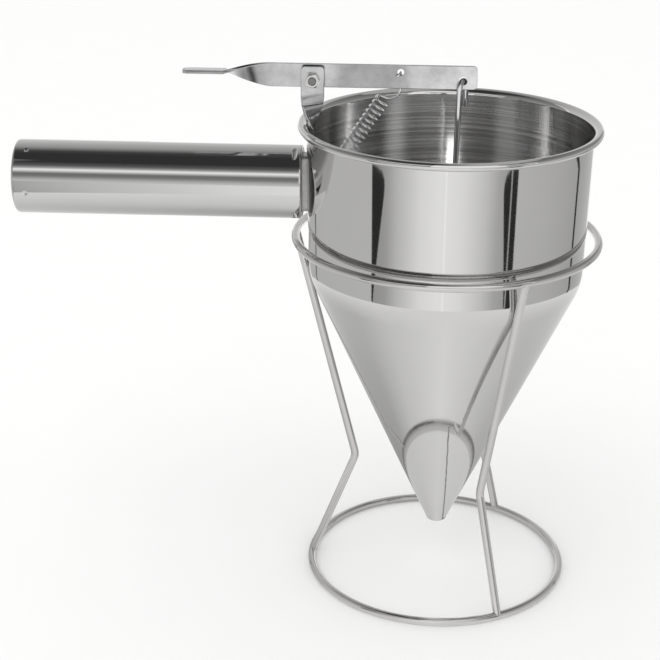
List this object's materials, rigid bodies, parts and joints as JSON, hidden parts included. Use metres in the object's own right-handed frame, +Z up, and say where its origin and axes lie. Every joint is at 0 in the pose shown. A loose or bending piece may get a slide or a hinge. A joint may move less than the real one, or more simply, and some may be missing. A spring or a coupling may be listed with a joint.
{
  "type": "batter dispenser",
  "caption": "Steel batter dispenser: a funnel with a tube handle and a sprung thumb lever that lifts a stopper rod to open the outlet, resting in a wire ring stand.",
  "frame": {"origin": "on the table, at the centre of the stand's base ring", "axes": "-X along the handle away from the funnel, +Z up, +Y towards the back of the lever"},
  "size_m": [0.256, 0.136, 0.2374],
  "materials": {
    "polished_sheet": "polished stainless steel sheet",
    "polished_tube": "polished stainless steel tube",
    "satin_strip": "satin stainless steel strip",
    "stand_wire": "polished stainless steel wire",
    "rod_wire": "drawn stainless steel wire",
    "spring_wire": "bright spring wire",
    "fasteners": "plain stainless steel"
  },
  "bodies": {
    "stand": {"stand_top_ring": "stand_wire", "stand_base_ring": "stand_wire", "stand_leg_handle_side": "stand_wire", "stand_leg_front": "stand_wire", "stand_leg_back": "stand_wire"},
    "funnel": {"funnel_bowl": "polished_sheet", "funnel_cone": "polished_sheet", "handle_tube": "polished_tube", "handle_end_cap": "polished_tube", "handle_saddle": "polished_tube", "lever_post": "satin_strip", "post_rivets": "fasteners", "pivot_bolt": "fasteners", "pivot_nut": "fasteners", "pivot_washer": "fasteners", "pivot_spacer": "fasteners", "return_spring": "spring_wire"},
    "lever": {"lever": "satin_strip"},
    "rod": {"pull_rod": "rod_wire", "rod_stopper": "fasteners"}
  },
  "joints": [
    {"name": "funnel_lift", "type": "slide", "parent": "stand", "child": "funnel", "axis": [0, 0, 1], "range_m": [0, 0.15]},
    {"name": "lever_press", "type": "hinge", "parent": "funnel", "child": "lever", "pos_m": [-0.05905, 0.003, 0.23079], "axis": [0, -1, 0], "range_deg": [0, 30], "stiffness_Nm_per_rad": 0.22, "springref_deg": -21.2, "deforming": ["return_spring"]},
    {"name": "rod_hang", "type": "hinge", "parent": "lever", "child": "rod", "pos_m": [0.0049, 0.003, 0.23079], "axis": [0, -1, 0], "range_deg": [-30, 0]}
  ],
  "couplings": [
    {"joint": "rod_hang", "follows": "lever_press", "ratio": -1}
  ]
}
